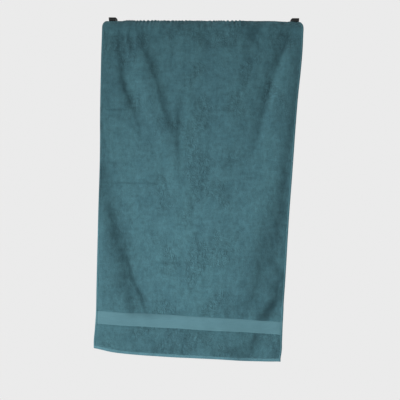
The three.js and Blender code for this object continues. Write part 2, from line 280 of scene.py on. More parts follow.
def painted_shade(x, drop):
    """How much painted shade darkens the cloth's colour, 0 to 1: along folds, in a few marks, along the press
    creases and below the border band.
    """
    total = np.zeros_like(x)
    sharp, gentle = 0.42, 1.0
    reaches = {"ridge": (sharp, gentle), "soft": (0.6, 0.6), "valley": (gentle, sharp)}
    # Painted shade along each fold: darker beside its line, sharper on one side.
    for number, (kind, width, _, points) in enumerate(FOLDS):
        past = (x - fold_line(points, drop, number)) / (width * MM)
        strength = np.clip(line_strength(points, drop) / PAINTED_SHADE_FULL_DEPTH, 0, 1) * np.sqrt(14 / width)
        before, after = reaches[kind]
        total += strength * np.exp(-np.where(past < 0, -past / before, past / after) ** 1.5)
    # Painted shade in the listed marks.
    for number, (width, points) in enumerate(PAINTED_SHADE_MARKS):
        past = (x - fold_line(points, drop, 30 + number)) / (width * MM)
        total += line_strength(points, drop) / MM * np.exp(-np.abs(past) ** 2.4)
    patches = soft_noise(x, drop, 14, 20, 52)
    flecks = soft_noise(x, drop, 6, 9, 53)
    total *= 0.75 + 0.6 * patches + 0.3 * flecks
    # Painted shade along the press creases.
    total += CREASE_SHADE * press_creases(x, drop + QUARTER) / CREASE_DEPTH
    # Painted shade below the border band.
    below_band = smoothstep(BAND_TOP + BAND_DEPTH - 9 * MM, BAND_TOP + BAND_DEPTH, drop)
    return np.clip(total + END_SHADE * below_band, 0, 1)


def waviness(across, along):
    """The slow, irregular unevenness that a soft cloth has besides its folds."""
    broad = 2.4 * MM * soft_noise(across, along, 120, 230, 11)
    middle = 1.0 * MM * soft_noise(across, along, 52, 84, 12)
    small = 0.45 * MM * soft_noise(across, along, 24, 30, 13)
    return broad + middle + small


def press_creases(x, along):
    """How far the creases across the cloth set it back. Each fades in and out at its ends."""
    total = np.zeros_like(x)
    for place, start, end in PRESS_CREASES:
        extent = plateau(start * MM, (start + CREASE_FADE) * MM, (end - CREASE_FADE) * MM, end * MM, x)
        profile = np.exp(-(((along - place * MM) / CREASE_WIDTH) ** 2))
        total += CREASE_DEPTH * extent * profile
    return total


def crest_lift(across, along):
    """How far the cloth stands off the rail between the clamps, which press it down beside them."""
    free = 1 - smoothstep(*PRESSED, np.abs(across))
    return CREST_LIFT * free * smoothstep(-1.1 * QUARTER, -0.35 * QUARTER, along)


def over_rail(length):
    """At a length from the crest: the angle round the rail, the drop below its axis, the tuck inwards."""
    angle = np.minimum(length / WRAP_RADIUS, math.pi / 2)
    return angle, np.maximum(length - QUARTER, 0), CREST_TUCK * np.cos(angle) ** 3


def front_point(side, across, along):
    """The cloth from the top of the rail down the front. side runs from -1 to 1 across the cloth."""
    angle, drop, tuck = over_rail(along)
    left = smooth_line(LEFT_EDGE, drop) + tuck
    right = smooth_line(RIGHT_EDGE, drop) - tuck
    x = left + (right - left) * (side + 1) / 2
    level = drop - WRAP_RADIUS * np.cos(angle)
    on_rail = smoothstep(-0.2 * QUARTER, 1.5 * QUARTER, along)
    lift = crest_lift(across, along)
    relief = (fold_depth(x, level) + waviness(across, along) + press_creases(x, along)) * on_rail
    relief = relief - lift - (FORWARD - lift) * smoothstep(0, FORWARD_DROP, drop)
    near_flap = smoothstep(*FLAP_X, np.abs(x)) * (1 - smoothstep(*FLAP_DROP, drop))
    most = FLAP_CLEARANCE + (1 - near_flap) * FREE_DEPTH
    relief = np.where(relief > 0, most * np.tanh(relief / most), relief)
    off_rail = smoothstep(0.9 * QUARTER, 1.4 * QUARTER, along)
    relief = np.minimum(relief, 0) * (1 - off_rail) + relief * off_rail
    y = -WRAP_RADIUS * np.sin(angle) + relief * np.sin(angle)
    z = WRAP_RADIUS * np.cos(angle) - drop - relief * np.cos(angle)
    return x, y, z


def pulled_back(length):
    """(y, z) at a length down the back where a clamp pulls the cloth round under the rail."""
    half_turn = math.pi * WRAP_RADIUS
    angle = np.minimum(length, half_turn) / WRAP_RADIUS
    bend = np.clip((length - half_turn) / JAW_BEND, 0, math.pi / 2)
    drop = np.maximum(length - half_turn - JAW_BEND * math.pi / 2, 0)
    y = WRAP_RADIUS * np.sin(angle) - JAW_BEND * np.sin(bend)
    z = WRAP_RADIUS * np.cos(angle) - JAW_BEND * (1 - np.cos(bend)) - drop
    return y, z


def back_point(side, across, along):
    """The cloth from the top of the rail down the back, straight or pulled round by a clamp."""
    angle, drop, tuck = over_rail(-along)
    back_drop = TOWEL_LENGTH - 2 * QUARTER - FRONT_DROP
    half = np.where(side < 0, CREST_LEFT, CREST_RIGHT) - tuck - BACK_DRAW * drop / back_drop
    x = side * half
    pull = smoothstep(PULLED_FROM, PULLED_TO, np.abs(x))
    lift = crest_lift(across, along)
    free_y = WRAP_RADIUS * np.sin(angle) + lift * np.sin(angle)
    free_z = WRAP_RADIUS * np.cos(angle) - drop + lift * np.cos(angle)
    pulled_y, pulled_z = pulled_back(-along)
    sway = smoothstep(0, 90 * MM, drop) * (1 - 0.75 * pull)
    ripple = 3.5 * MM * soft_noise(across, along, 60, 160, 21)
    y = free_y + (pulled_y - free_y) * pull + sway * (ripple + waviness(across, along))
    z = free_z + (pulled_z - free_z) * pull
    return x, y, z


def cloth_point(across, along):
    """The middle of the cloth's thickness, as an array of points."""
    across, along = np.broadcast_arrays(np.asarray(across, float), np.asarray(along, float))
    side = across / HALF_WIDTH
    front = front_point(side, across, np.maximum(along, 0))
    back = back_point(side, across, np.minimum(along, 0))
    return np.stack([np.where(along >= 0, f, b) for f, b in zip(front, back)], axis=-1)


def cloth_normal(across, along):
    """The outward normal of the cloth: towards the viewer on the front."""
    step = 0.7 * MM
    over = cloth_point(across + step, along) - cloth_point(across - step, along)
    down = cloth_point(across, along + step) - cloth_point(across, along - step)
    normal = np.cross(down, over)
    return normal / np.linalg.norm(normal, axis=-1, keepdims=True)


def front_woven_end(across):
    """Where the weaving ends on the front: the borders run parallel to it."""
    side = across / HALF_WIDTH
    return QUARTER + FRONT_DROP + (15 * side + 3 * side**3 - 3.5) * MM


def front_end(across):
    """The sewn end of the front, which rises at its corners and sags a little towards the right."""
    side = across / HALF_WIDTH
    left_corner = 6 * np.exp(-(((across + 350 * MM) / (50 * MM)) ** 2))
    right_corner = 2 * np.exp(-(((across - 350 * MM) / (30 * MM)) ** 2))
    sag = 3.2 * np.exp(-(((across - 225 * MM) / (75 * MM)) ** 2))
    slope = 12.5 * side - 7 * side**2 + 7.5 * side**3
    return QUARTER + FRONT_DROP + (slope + sag - left_corner - right_corner) * MM


def back_end(across):
    return front_woven_end(across) - TOWEL_LENGTH


# ---- building pieces on the cloth ----

def shoulder(distance, radius):
    """The height of a rounded edge, 0 at the edge and 1 from radius inwards."""
    k = np.clip(1 - distance / radius, 0, 1)
    return np.sqrt(1 - k * k)


def stations(length, spacing, round_start, round_end, radius):
    """Distances from one edge to the other, close together where the edge is rounded."""
    near = radius * np.array([0, 0.06, 0.25, 0.6])
    start = near if round_start else np.array([0.0])
    end = length - near[::-1] if round_end else np.array([length])
    low = radius if round_start else spacing
    high = length - (radius if round_end else spacing)
    count = max(int(round((high - low) / spacing)), 1)
    return np.concatenate([start, np.linspace(low, high, count + 1), end])


def new_object(name, points, faces, uvs=None):
    mesh = bpy.data.meshes.new(name)
    mesh.from_pydata(points.tolist(), [], faces)
    if uvs is not None:
        layer = mesh.uv_layers.new(name="cloth")
        index = np.empty(len(mesh.loops), int)
        mesh.loops.foreach_get("vertex_index", index)
        layer.data.foreach_set("uv", np.asarray(uvs, np.float32)[index].ravel())
    mesh.polygons.foreach_set("use_smooth", [True] * len(mesh.polygons))
    mesh.validate()
    mesh.update()
    obj = bpy.data.objects.new(name, mesh)
    bpy.context.scene.collection.objects.link(obj)
    return obj


def grid_faces(rows, columns, offset, flip):
    """The quads of one side of a grid of points, as index rows."""
    r, c = np.meshgrid(np.arange(rows - 1), np.arange(columns - 1), indexing="ij")
    a = (r * columns + c + offset).ravel()
    quads = np.stack([a, a + columns, a + columns + 1, a + 1], axis=1)
    return quads[:, ::-1] if flip else quads


def tube_faces(rows, count):
    """The quads of a tube through rows of count points."""
    r, c = np.meshgrid(np.arange(rows - 1), np.arange(count), indexing="ij")
    a, b = (r * count + c).ravel(), (r * count + (c + 1) % count).ravel()
    return [tuple(q) for q in np.stack([a, b, b + count, a + count], axis=1).tolist()]


def closed_tube(rows, count):
    """The faces of a tube with both of its ends capped."""
    start, end = tuple(range(count - 1, -1, -1)), tuple(range((rows - 1) * count, rows * count))
    return [*tube_faces(rows, count), start, end]


def rim_faces(rows, columns, back):
    """The quads that close the edges between the front and back grids."""
    top = [(0, c) for c in range(columns)]
    right = [(r, columns - 1) for r in range(1, rows)]
    bottom = [(rows - 1, c) for c in range(columns - 2, -1, -1)]
    left = [(r, 0) for r in range(rows - 2, 0, -1)]
    loop = [r * columns + c for r, c in top + right + bottom + left]
    return [(a, b, b + back, a + back) for a, b in zip(loop, loop[1:] + loop[:1])]


def cloth_piece(name, across, start, end, height, spacing, rims, radius):
    """A closed piece of cloth between across[0] and across[1] and along start(across) to end(across).

    height(across, along) is half the thickness. rims says whether the start and the end are rounded, over
    the radius. A rim named "band" slopes down to the height of the border band that it meets.
    """
    columns = across[0] + stations(across[1] - across[0], spacing[0], True, True, SIDE_RADIUS)
    length = float(np.mean(end(columns) - start(columns)))
    share = stations(length, spacing[1], *rims, radius) / length
    u = np.broadcast_to(columns, (len(share), len(columns)))
    low, high = start(u), end(u)
    t = low + (high - low) * share[:, None]
    edge = np.ones_like(t)
    half = height(u, t)
    for kind, distance in zip(rims, (t - low, high - t)):
        if kind == "band":
            half = MEETING_HEIGHT + (half - MEETING_HEIGHT) * smoothstep(0, MEETING_SLOPE, distance)
        elif kind:
            edge = edge * shoulder(distance, radius)
    for distance in (u - across[0], across[1] - u):
        edge = edge * shoulder(distance, SIDE_RADIUS)
    points, normals = cloth_point(u, t), cloth_normal(u, t)
    half = np.maximum(half * edge, THINNEST)[..., None]
    outer, inner = points + normals * half, points - normals * half
    rows, count = t.shape
    size = rows * count
    faces = np.concatenate([grid_faces(rows, count, 0, False), grid_faces(rows, count, size, True)])
    faces = [tuple(q) for q in faces.tolist()] + rim_faces(rows, count, size)
    uv = np.stack([u.ravel(), t.ravel()], axis=1)
    everything = np.concatenate([outer.reshape(-1, 3), inner.reshape(-1, 3)])
    obj = new_object(name, everything, faces, np.concatenate([uv, uv]))
    # The painted shade of the cloth, kept on its points for the colour.
    shade = np.where(t > 0, painted_shade(points[..., 0], -points[..., 2]), 0).ravel()
    for label, values in (("painted_shade", shade), ("beside_band", beside_band(u, t).ravel()),
                          ("rumple", rumple(u, t).ravel())):
        attribute = obj.data.attributes.new(label, "FLOAT", "POINT")
        attribute.data.foreach_set("value", np.tile(values, 2).astype(np.float32))
    return obj


def rumple(across, along):
    """How rumpled the pile is, 0 to 1: in patches, most of all near the top and down the middle."""
    calm = smoothstep(60 * MM, 200 * MM, np.abs(across)) * smoothstep(200 * MM, 420 * MM, along)
    calm = calm * (1 - smoothstep(1000 * MM, 1050 * MM, along))
    return smoothstep(-0.15, 0.65, soft_noise(across, along, 40, 46, 30)) * (1 - 0.75 * calm)


def pile_height(across, along):
    """Half the thickness of the terry, with the clumping of its loops."""
    upper = 1 - smoothstep(100 * MM, 420 * MM, along)
    unevenness = (0.2 + 0.65 * rumple(across, along) + 0.22 * upper) * MM
    clumps = unevenness * soft_noise(across, along, 8, 10, 31)
    tufts = 0.3 * MM * soft_noise(across, along, 15, 18, 32)
    brushed = 0.30 * MM * soft_noise(across, along, 34, 40, 33)
    height = PILE + clumps + tufts + brushed + crest_bumps(across, along)
    near_edge = smoothstep(INNER - 14 * MM, INNER, np.abs(across))
    return height * (1 - near_edge) + SIDE_HEM * near_edge


def crest_bumps(across, along):
    """The row of small bumps where the loops bunch together over the rail."""
    wander = 10 * MM * soft_noise(across, 0 * along, 36, 1, 38)
    size = CREST_BUMP_HEIGHT * smoothstep(-0.75, 0.75, soft_noise(across, along, 17, 40, 39))
    size = size * (1 - smoothstep(120 * MM, 190 * MM, across))
    size = size * (1 - smoothstep(-250 * MM, -300 * MM, across))
    wave = np.cos(2 * math.pi * (across + wander) / CREST_BUMP_PITCH)
    return size * wave * np.exp(-((along / (0.6 * QUARTER)) ** 2))


def beside_band(across, along):
    """1 beside a border band and 0 elsewhere, on the front and on the back."""
    depth = np.where(along > 0, front_woven_end(across) - along, along - back_end(across))
    return plateau(BAND_START - 3 * MM, BAND_START + MM, BAND_END - MM, BAND_END + 3 * MM, depth)


def ground_height(across, along):
    return GROUND + 0.05 * MM * soft_noise(across, along, 12, 30, 34)


def hem_height(across, along):
    return HEM + 0.18 * MM * soft_noise(across, along, 14, 14, 35)


def side_hem_height(across, along):
    uneven = 0.22 * MM * soft_noise(across, along, 9, 16, 36)
    return SIDE_HEM + uneven - (SIDE_HEM - GROUND) * beside_band(across, along)


# ---- materials ----

def set_stops(elements, stops):
    while len(elements) < len(stops):
        elements.new(0.5)
    for element, (position, color) in zip(elements, stops):
        element.position = position
        element.color = (*color, 1) if isinstance(color, tuple) else (color, color, color, 1)


class Look:
    """A Principled material being built, with short calls for the nodes it needs."""

    def __init__(self, name, color, roughness, **settings):
        self.material = bpy.data.materials.new(name)
        self.material.use_nodes = True
        self.tree = self.material.node_tree
        self.shader = self.tree.nodes["Principled BSDF"]
        self.material.diffuse_color = (*color, 1)
        values = {"Base Color": (*color, 1), "Roughness": roughness, **settings}
        for key, value in values.items():
            self.shader.inputs[key].default_value = value

    def node(self, kind, settings=None, **inputs):
        made = self.tree.nodes.new(kind)
        for key, value in (settings or {}).items():
            setattr(made, key, value)
        for key, value in inputs.items():
            self.feed(made.inputs[key], value)
        return made

    def feed(self, socket, value):
        """Links an output to a socket, or sets the socket to a value."""
        if isinstance(value, bpy.types.NodeSocket):
            self.tree.links.new(value, socket)
        else:
            socket.default_value = value

    def math(self, operation, a, b):
        made = self.node("ShaderNodeMath", {"operation": operation})
        self.feed(made.inputs[0], a)
        self.feed(made.inputs[1], b)
        return made.outputs[0]

    def mark(self, name):
        """The number stored under a name on each point of the mesh."""
        return self.node("ShaderNodeAttribute", {"attribute_name": name}).outputs["Fac"]

    def cloth_coordinates(self, across, along, shift=0):
        """Cloth coordinates counted in steps of across and along."""
        uv = self.node("ShaderNodeUVMap", {"uv_map": "cloth"}).outputs[0]
        return self.node("ShaderNodeMapping", Vector=uv, Scale=(1 / across, 1 / along, 1),
                         Location=(shift, shift, 0)).outputs[0]

    def noise(self, across, along, detail=2.0, roughness=0.5, shift=0, distortion=0.0):
        """Noise laid on the cloth, with features of about the given size."""
        place = self.cloth_coordinates(across, along, shift)
        return self.node("ShaderNodeTexNoise", {"noise_dimensions": "2D"}, Vector=place, Scale=1.0,
                         Detail=detail, Roughness=roughness, Distortion=distortion).outputs[0]

    def grain(self, scale, detail):
        """Noise in the object's own space."""
        place = self.node("ShaderNodeTexCoord").outputs["Object"]
        return self.node("ShaderNodeTexNoise", Vector=place, Scale=scale, Detail=detail).outputs[0]

    def weave(self, across, along, randomness):
        """The cells of a plain weave, as the distance from each one's middle."""
        place = self.cloth_coordinates(across, along)
        return self.node("ShaderNodeTexVoronoi", {"voronoi_dimensions": "2D"}, Vector=place, Scale=1.0,
                         Randomness=randomness).outputs["Distance"]

    def creases(self):
        """Short wandering lines where the pile is crushed, 1 on a line and 0 off it, in patches."""
        total = None
        for across, along, shift in ((28 * MM, 26 * MM, 0), (70 * MM, 20 * MM, 7), (20 * MM, 44 * MM, 13)):
            lines = self.noise(across, along, detail=1.5, shift=shift, distortion=1.0)
            part = self.ramp(lines, (0.42, 0.0), (0.5, 1.0), (0.58, 0.0))
            total = part if total is None else self.math("MAXIMUM", total, part)
        return self.math("MULTIPLY", total, self.ramp(self.mark("rumple"), (0.1, 0.0), (0.8, 1.0)))

    def ramp(self, value, *stops):
        """A colour ramp over (position, colour or grey level) stops."""
        made = self.node("ShaderNodeValToRGB", Fac=value)
        set_stops(made.color_ramp.elements, stops)
        return made.outputs[0]

    def tint(self, color, value, *stops):
        """A colour multiplied by a ramp over a value."""
        made = self.node("ShaderNodeMix", {"data_type": "RGBA", "blend_type": "MULTIPLY"})
        made.inputs[0].default_value = 1.0
        self.feed(made.inputs[6], (*color, 1) if isinstance(color, tuple) else color)
        self.feed(made.inputs[7], self.ramp(value, *stops))
        return made.outputs[2]

    def with_painted_shade(self, color):
        """A colour darkened by the painted shade of the folds, marks and creases, as marked on the mesh."""
        return self.tint(color, self.mark("painted_shade"), (0.0, 1.0), (1.0, (0.58, 0.61, 0.62)))

    def finish(self, color, height=None, distance=0.0, strength=1.0):
        """Sets the colour and, with a height, the bump. Gives the material."""
        self.feed(self.shader.inputs["Base Color"], color)
        if height is not None:
            bump = self.node("ShaderNodeBump", Height=height, Distance=distance, Strength=strength)
            self.feed(self.shader.inputs["Normal"], bump.outputs[0])
        return self.material


TERRY_COLOR = (0.0398, 0.1035, 0.1235)
DOBBY_COLOR = (0.0592, 0.1405, 0.1645)
HEM_COLOR = (0.062, 0.150, 0.180)
SIDE_HEM_COLOR = (0.040, 0.106, 0.127)
THREAD_COLOR = (0.088, 0.195, 0.226)
NYLON_COLOR = (0.006, 0.0055, 0.0066)
RUBBER_COLOR = (0.016, 0.016, 0.016)
STEEL_COLOR = (0.6, 0.61, 0.62)


def terry_look():
    """Rows of cotton loops that lean and clump, crushed into small creases here and there. The colour is darker
    between the loops and on the creases, as painted shade.
    """
    look = Look("terry_loops", TERRY_COLOR, 0.95,
                **{"Specular IOR Level": 0.12, "Sheen Weight": 0.06, "Sheen Roughness": 0.6,
                   "Sheen Tint": (0.70, 0.92, 1.0, 1)})
    loops = look.node("ShaderNodeTexVoronoi", {"voronoi_dimensions": "2D", "feature": "SMOOTH_F1"},
                      Vector=look.cloth_coordinates(1.9 * MM, 2.5 * MM), Scale=1.0, Smoothness=0.35,
                      Randomness=0.85).outputs["Distance"]
    clumps = look.noise(12 * MM, 14 * MM, detail=3.0, roughness=0.6)
    brushed = look.noise(34 * MM, 44 * MM, detail=3.0, roughness=0.55)
    patches = look.noise(110 * MM, 150 * MM)
    creases = look.creases()
    # Darker away from each loop's middle: painted shade in the gaps between loops.
    color = look.tint(TERRY_COLOR, loops, (0.15, 1.06), (0.85, 0.74))
    color = look.tint(color, clumps, (0.30, 0.88), (0.50, 1.0), (0.72, 1.07))
    color = look.tint(color, brushed, (0.32, (0.89, 0.91, 0.92)), (0.52, 1.0), (0.70, (1.06, 1.05, 1.05)))
    color = look.tint(color, patches, (0.30, (0.95, 0.95, 0.96)), (0.70, (1.05, 1.04, 1.03)))
    # Darker on the crease lines: painted shade in the creases, besides their bump.
    color = look.tint(color, creases, (0.0, 1.02), (1.0, 0.85))
    for across, along in ((17 * MM, 26 * MM), (44 * MM, 11 * MM)):
        color = look.tint(color, look.noise(across, along), (0.34, 0.94), (0.50, 1.0), (0.66, 1.036))
    height = look.math("SUBTRACT", look.math("MULTIPLY", clumps, 1.4), loops)
    height = look.math("SUBTRACT", height, look.math("MULTIPLY", creases, 1.3))
    # The colour is darkened by the painted shade of the folds, marks and creases.
    return look.finish(look.with_painted_shade(color), height, 0.9 * MM, 0.8)


def dobby_look():
    """The flat border: a close plain weave with faint uneven yarns."""
    look = Look("dobby_weave", DOBBY_COLOR, 0.8,
                **{"Specular IOR Level": 0.25, "Sheen Weight": 0.08, "Sheen Roughness": 0.4})
    weave = look.weave(1.1 * MM, 0.8 * MM, 0.25)
    slubs = look.noise(34 * MM, 2.6 * MM, detail=3.0)
    shade = look.noise(60 * MM, 26 * MM)
    color = look.tint(DOBBY_COLOR, slubs, (0.3, 0.96), (0.7, 1.03))
    color = look.tint(color, shade, (0.3, (0.97, 0.97, 0.98)), (0.7, (1.03, 1.02, 1.02)))
    color = look.tint(color, weave, (0.0, 1.03), (0.8, 0.90))
    return look.finish(color, look.math("SUBTRACT", slubs, weave), 0.2 * MM, 0.6)


def hem_look(name, color, band_color=None):
    """Turned cotton edges: the ground weave with a little nap. band_color is the tone beside a border."""
    look = Look(name, color, 0.9,
                **{"Specular IOR Level": 0.2, "Sheen Weight": 0.06, "Sheen Roughness": 0.5})
    nap = look.noise(5 * MM, 5 * MM, detail=3.0, roughness=0.6)
    weave = look.weave(1.2 * MM, 1.2 * MM, 0.4)
    if band_color:
        color = look.ramp(look.mark("beside_band"), (0.35, color), (0.65, band_color))
    color = look.tint(color, nap, (0.3, 0.90), (0.7, 1.08))
    color = look.tint(color, look.noise(26 * MM, 26 * MM), (0.3, 0.92), (0.7, 1.05))
    # The colour is darkened by the painted shade of the folds, marks and creases.
    return look.finish(look.with_painted_shade(color), look.math("SUBTRACT", nap, weave), 0.4 * MM, 0.7)


def thread_look():
    look = Look("sewing_thread", THREAD_COLOR, 0.55, **{"Specular IOR Level": 0.4})
    return look.finish(look.tint(THREAD_COLOR, look.grain(900.0, 2.0), (0.3, 0.85), (0.7, 1.1)))


# ---- the towel ----

TUCK_UNDER = 1.5 * MM
PILE_SPACING = (3.0 * MM, 5.25 * MM)
FLAT_SPACING = (5 * MM, 4 * MM)
END_HEM_SPACING = (5 * MM, 2.4 * MM)
SIDE_HEM_SPACING = (1.6 * MM, 5 * MM)
PILE_RADIUS = 4.5 * MM
EDGE_RADIUS = 2.5 * MM
HEM_RADIUS = 1.8 * MM
SIDE_HEM_STOP = 9 * MM
STITCH_PITCH = 4.6 * MM
STITCH_LENGTH = 3.4 * MM
STITCH_RADIUS = 0.42 * MM
STITCH_INSET = 2.4 * MM
HINGE = Vector(next(j for j in frame["joints"] if j["name"] == "front_swing")["pos_m"])
BEND_ABOVE, BEND_BELOW = 14 * MM, 46 * MM
FRONT_BEND = HINGE + Vector((0, 0, BEND_ABOVE)), HINGE - Vector((0, 0, BEND_BELOW))


def finish_piece(obj, material, nodes, body, bend=None):
    """Gives a piece its look and its place in the frame.

    It rides the body or, when a bend is given, has its placement baked into its points and rides no body.
    """
    obj.data.materials.append(material)
    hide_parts(*nodes)
    if bend:
        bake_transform(obj)
    else:
        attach(obj, body)


def at(end, depth, inward):
    """The line at a depth in from one end of the cloth, as a function of across. It wavers slightly."""
    def line(u):
        return end(u) + inward * depth + 0.8 * MM * soft_noise(u, 0 * u + depth, 36, 40, 41)
    return line


def constant(value):
    return lambda u: np.full_like(u, value)


def build_half(looks, label, end, woven, inward, body, bend, crest_nodes):
    """The zones of the front or the back, from the crest to the end. inward points back up the cloth.

    Only the pile is passed the bend. The zones below it ride the body.
    """
    def zone(name, near, far, height, spacing, rims=(True, True), half_width=INNER, radius=EDGE_RADIUS):
        order = slice(None, None, -inward)
        start, end = (near, far)[order]
        return cloth_piece(f"{label}_{name}", (-half_width, half_width), start, end, height, spacing,
                           rims[order], radius)

    pile = zone("pile", constant(SEAM_ALONG), at(woven, BAND_END, inward), pile_height, PILE_SPACING,
                (False, "band"), radius=PILE_RADIUS)
    finish_piece(pile, looks["terry"], [*crest_nodes, f"{label}_terry"], body, bend)
    band = zone("border_band", at(woven, BAND_END + TUCK_UNDER, inward),
                at(woven, BAND_START - TUCK_UNDER, inward), ground_height, FLAT_SPACING)
    finish_piece(band, looks["dobby"], [f"{label}_dobby_band"], body)
    end_pile = zone("end_pile", at(woven, BAND_START, inward), at(end, END_HEM_DEPTH, inward), pile_height,
                    PILE_SPACING, ("band", True))
    finish_piece(end_pile, looks["terry"], [f"{label}_end_terry"], body)
    hem = zone("end_hem_fold", at(end, END_HEM_DEPTH + TUCK_UNDER, inward), end, hem_height,
               END_HEM_SPACING, half_width=HALF_WIDTH, radius=HEM_RADIUS)
    finish_piece(hem, looks["hem"], [f"{label}_end_hem"], body)


def build_zones(looks):
    build_half(looks, "front", front_end, front_woven_end, -1, "front_drop", FRONT_BEND, ["crest_terry"])
    build_half(looks, "back", back_end, back_end, 1, "rail_wrap", None, [])


def build_side_hems(looks):
    """The hems along both sides, which stop just under the end hems."""
    seam = constant(SEAM_ALONG)
    front_tip, back_tip = at(front_end, SIDE_HEM_STOP, -1), at(back_end, SIDE_HEM_STOP, 1)
    for label, sign in (("left", -1), ("right", 1)):
        edges = sorted((sign * HALF_WIDTH, sign * (INNER - TUCK_UNDER)))
        front = cloth_piece(f"{label}_front_side_hem_fold", edges, seam, front_tip, side_hem_height,
                            SIDE_HEM_SPACING, (False, True), HEM_RADIUS)
        finish_piece(front, looks["side_hem"],
                     [f"{label}_crest_side_hem", f"{label}_front_side_hem"], "front_drop", FRONT_BEND)
        back = cloth_piece(f"{label}_back_side_hem_fold", edges, back_tip, seam, side_hem_height,
                           SIDE_HEM_SPACING, (True, False), HEM_RADIUS)
        finish_piece(back, looks["side_hem"], [f"{label}_back_side_hem"], "rail_wrap")


def stitch_row(name, line, height):
    """A row of stitches on both faces of the cloth, along (across, along) points a pitch apart.

    Each stitch is a small spindle that dips into the cloth at both of its ends.
    """
    centres, directions = (line[1:] + line[:-1]) / 2, line[1:] - line[:-1]
    directions = directions / np.linalg.norm(directions, axis=1, keepdims=True)
    rings, sides = 5, 6
    points = []
    for face in (1, -1):
        for k in range(rings):
            t = -1 + 2 * k / (rings - 1)
            spot = centres + directions * (STITCH_LENGTH / 2) * t
            middle, normal = cloth_point(*spot.T), cloth_normal(*spot.T) * face
            ahead = cloth_point(*(spot + directions * MM * 0.5).T) - middle
            ahead /= np.linalg.norm(ahead, axis=1, keepdims=True)
            aside = np.cross(ahead, normal)
            swell = STITCH_RADIUS * math.sqrt(max(1 - 0.85 * t * t, 0.02))
            rise = height + 0.25 * STITCH_RADIUS - 1.4 * STITCH_RADIUS * t * t
            for s in range(sides):
                turn = 2 * math.pi * s / sides
                out, over = rise + swell * math.cos(turn), swell * math.sin(turn)
                points.append(middle + normal * out + aside * over)
    count = len(centres)
    faces = [tuple((first + corner) * count + stitch for corner in face)
             for first in (0, rings * sides) for stitch in range(count)
             for face in closed_tube(rings, sides)]
    return new_object(name, np.concatenate(points), faces)


def build_stitches(looks):
    """The rows that hold the end hems, and those that hold the side hems."""
    across = np.arange(-HALF_WIDTH + STITCH_INSET, HALF_WIDTH - STITCH_INSET, STITCH_PITCH)
    depth = END_HEM_DEPTH - STITCH_INSET
    front, back = front_end(across) - depth, back_end(across) + depth
    for label, along, body in (("front", front, "front_drop"), ("back", back, "rail_wrap")):
        row = stitch_row(f"{label}_hem_stitches", np.stack([across, along], axis=1), HEM)
        finish_piece(row, looks["thread"], [f"{label}_hem_stitching"], body)
    for label, sign in (("left", -1), ("right", 1)):
        side = sign * (HALF_WIDTH - SIDE_HEM_WIDTH + STITCH_INSET)
        lowest, furthest = float(front_end(np.array(side))), float(back_end(np.array(side)))
        front = np.arange(SEAM_ALONG + STITCH_PITCH, lowest - END_HEM_DEPTH, STITCH_PITCH)
        back = np.arange(furthest + END_HEM_DEPTH, SEAM_ALONG, STITCH_PITCH)
        parts = ("front", front, "front_drop", FRONT_BEND), ("back", back, "rail_wrap", None)
        for part, along, body, bend in parts:
            line = np.stack([np.full_like(along, side), along], axis=1)
            row = stitch_row(f"{label}_{part}_side_stitches", line, SIDE_HEM)
            finish_piece(row, looks["thread"], [], body, bend)


# ---- the clamps ----

def nylon_look():
    """Black glass-filled nylon: a fine moulded grain with scuffs."""
    look = Look("black_nylon", NYLON_COLOR, 0.45, **{"Specular IOR Level": 0.3})
    scuffs = look.grain(90.0, 4.0)
    look.feed(look.shader.inputs["Roughness"], look.ramp(scuffs, (0.3, 0.38), (0.7, 0.58)))
    color = look.tint(NYLON_COLOR, scuffs, (0.35, 0.75), (0.7, 1.5))
    return look.finish(color, look.grain(1400.0, 3.0), 0.15 * MM, 0.5)


def rubber_look():
    look = Look("pad_rubber", RUBBER_COLOR, 0.8, **{"Specular IOR Level": 0.3})
    grain = look.grain(800.0, 3.0)
    return look.finish(look.tint(RUBBER_COLOR, grain, (0.3, 0.7), (0.7, 1.3)), grain, 0.2 * MM, 0.6)


def steel_look():
    look = Look("bright_steel", STEEL_COLOR, 0.32, Metallic=1.0)
    drawn = look.grain(500.0, 3.0)
    look.feed(look.shader.inputs["Roughness"], look.ramp(drawn, (0.3, 0.24), (0.7, 0.42)))
    return look.finish(look.tint(STEEL_COLOR, drawn, (0.3, 0.82), (0.7, 1.0)))


PIVOT = Vector(next(j for j in frame["joints"] if j["name"] == "right_clamp_opening")["pos_m"])
CLAMP_WIDTH = 24 * MM
ARM_THICKNESS = 8 * MM
ARM_ROUNDING = 1.6 * MM
ARM_EDGE = 1.2 * MM
HANDLE_TAPER = 2.5 * MM
EAR_THICKNESS = 2.6 * MM
EAR_RADIUS, WEB_HALF_WIDTH, WEB_HEIGHT = 8, 7, 17  # millimetres
BORE_RADIUS = 2.8 * MM
UPPER_EAR_X, LOWER_EAR_X = 10.6 * MM, 7.65 * MM
JAW_FLARE = 6 * MM
JAW_THINNING = 0.55
RIB_PITCH = 4 * MM
RIB_HEIGHT = 0.9 * MM
WIRE_RADIUS = 1.0 * MM
COIL_RADIUS = 5.2 * MM
COIL_TURNS = 3.5
COIL_WIDTH = 8.1 * MM
LEG_REACH = 28 * MM
LEG_RISE = 0.36

# The upper arm's middle line as (y, z) in millimetres, from the jaw past the pivot to the handle. It
# starts at the jaw's tip, which lies further back on the lower arm.
ARM_LINE = [(-10, 40.9), (34, 40.9), (42, 36.9), (54, 23), (66, 16), (80, 19), (128, 36)]
LOWER_TIP_BACK = 7  # millimetres


def rings_object(name, rings):
    """A closed shape through a list of rings of points, each with the same count."""
    return new_object(name, np.concatenate(rings), closed_tube(len(rings), len(rings[0])))


